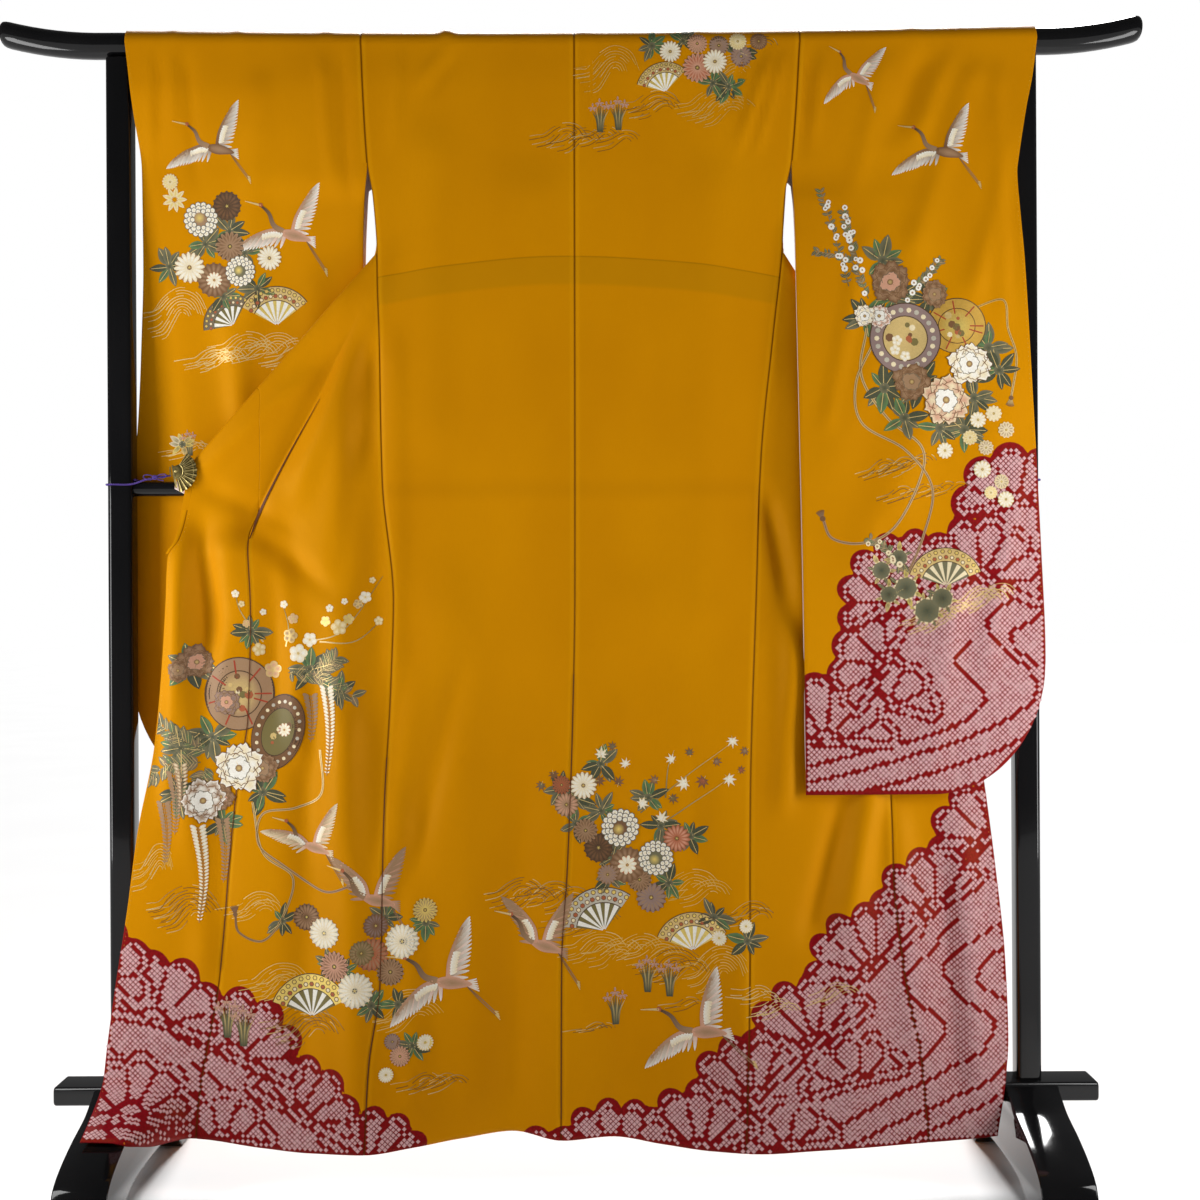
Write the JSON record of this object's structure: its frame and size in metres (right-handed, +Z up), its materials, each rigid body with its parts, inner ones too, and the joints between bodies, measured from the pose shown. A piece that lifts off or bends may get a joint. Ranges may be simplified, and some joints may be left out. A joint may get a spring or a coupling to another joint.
{
  "type": "furisode kimono on a kimono stand",
  "caption": "Long-sleeved silk kimono draped over the top rail of a lacquered wooden stand, back shown, fronts drawn out to both sides and held by clips.",
  "frame": {"origin": "on the floor, under the middle of the stand", "axes": "+X along the stand towards the right of the side that shows the kimono's back, +Y from that side to the rear, +Z up"},
  "size_m": [1.7, 0.5, 1.7355],
  "materials": {
    "silk": "satin silk crepe, golden orange, with red tie-dyed fields and painted flowers",
    "lacquer": "glossy black lacquer",
    "bronze": "dark aged bronze",
    "braid": "purple braided cord"
  },
  "bodies": {
    "root": {"top_rail": "lacquer", "mid_rail": "lacquer", "base_plate": "lacquer", "post_left": "lacquer", "post_right": "lacquer", "foot_left": "lacquer", "foot_right": "lacquer", "back_left": "silk", "back_right": "silk", "front_left": "silk", "front_right": "silk", "okumi_left": "silk", "okumi_right": "silk", "sleeve_left": "silk", "sleeve_right": "silk", "collar": "silk", "fan_clip_left": "bronze", "fan_clip_right": "bronze", "tie_cord_left": "braid", "tie_cord_right": "braid"}
  },
  "joints": []
}
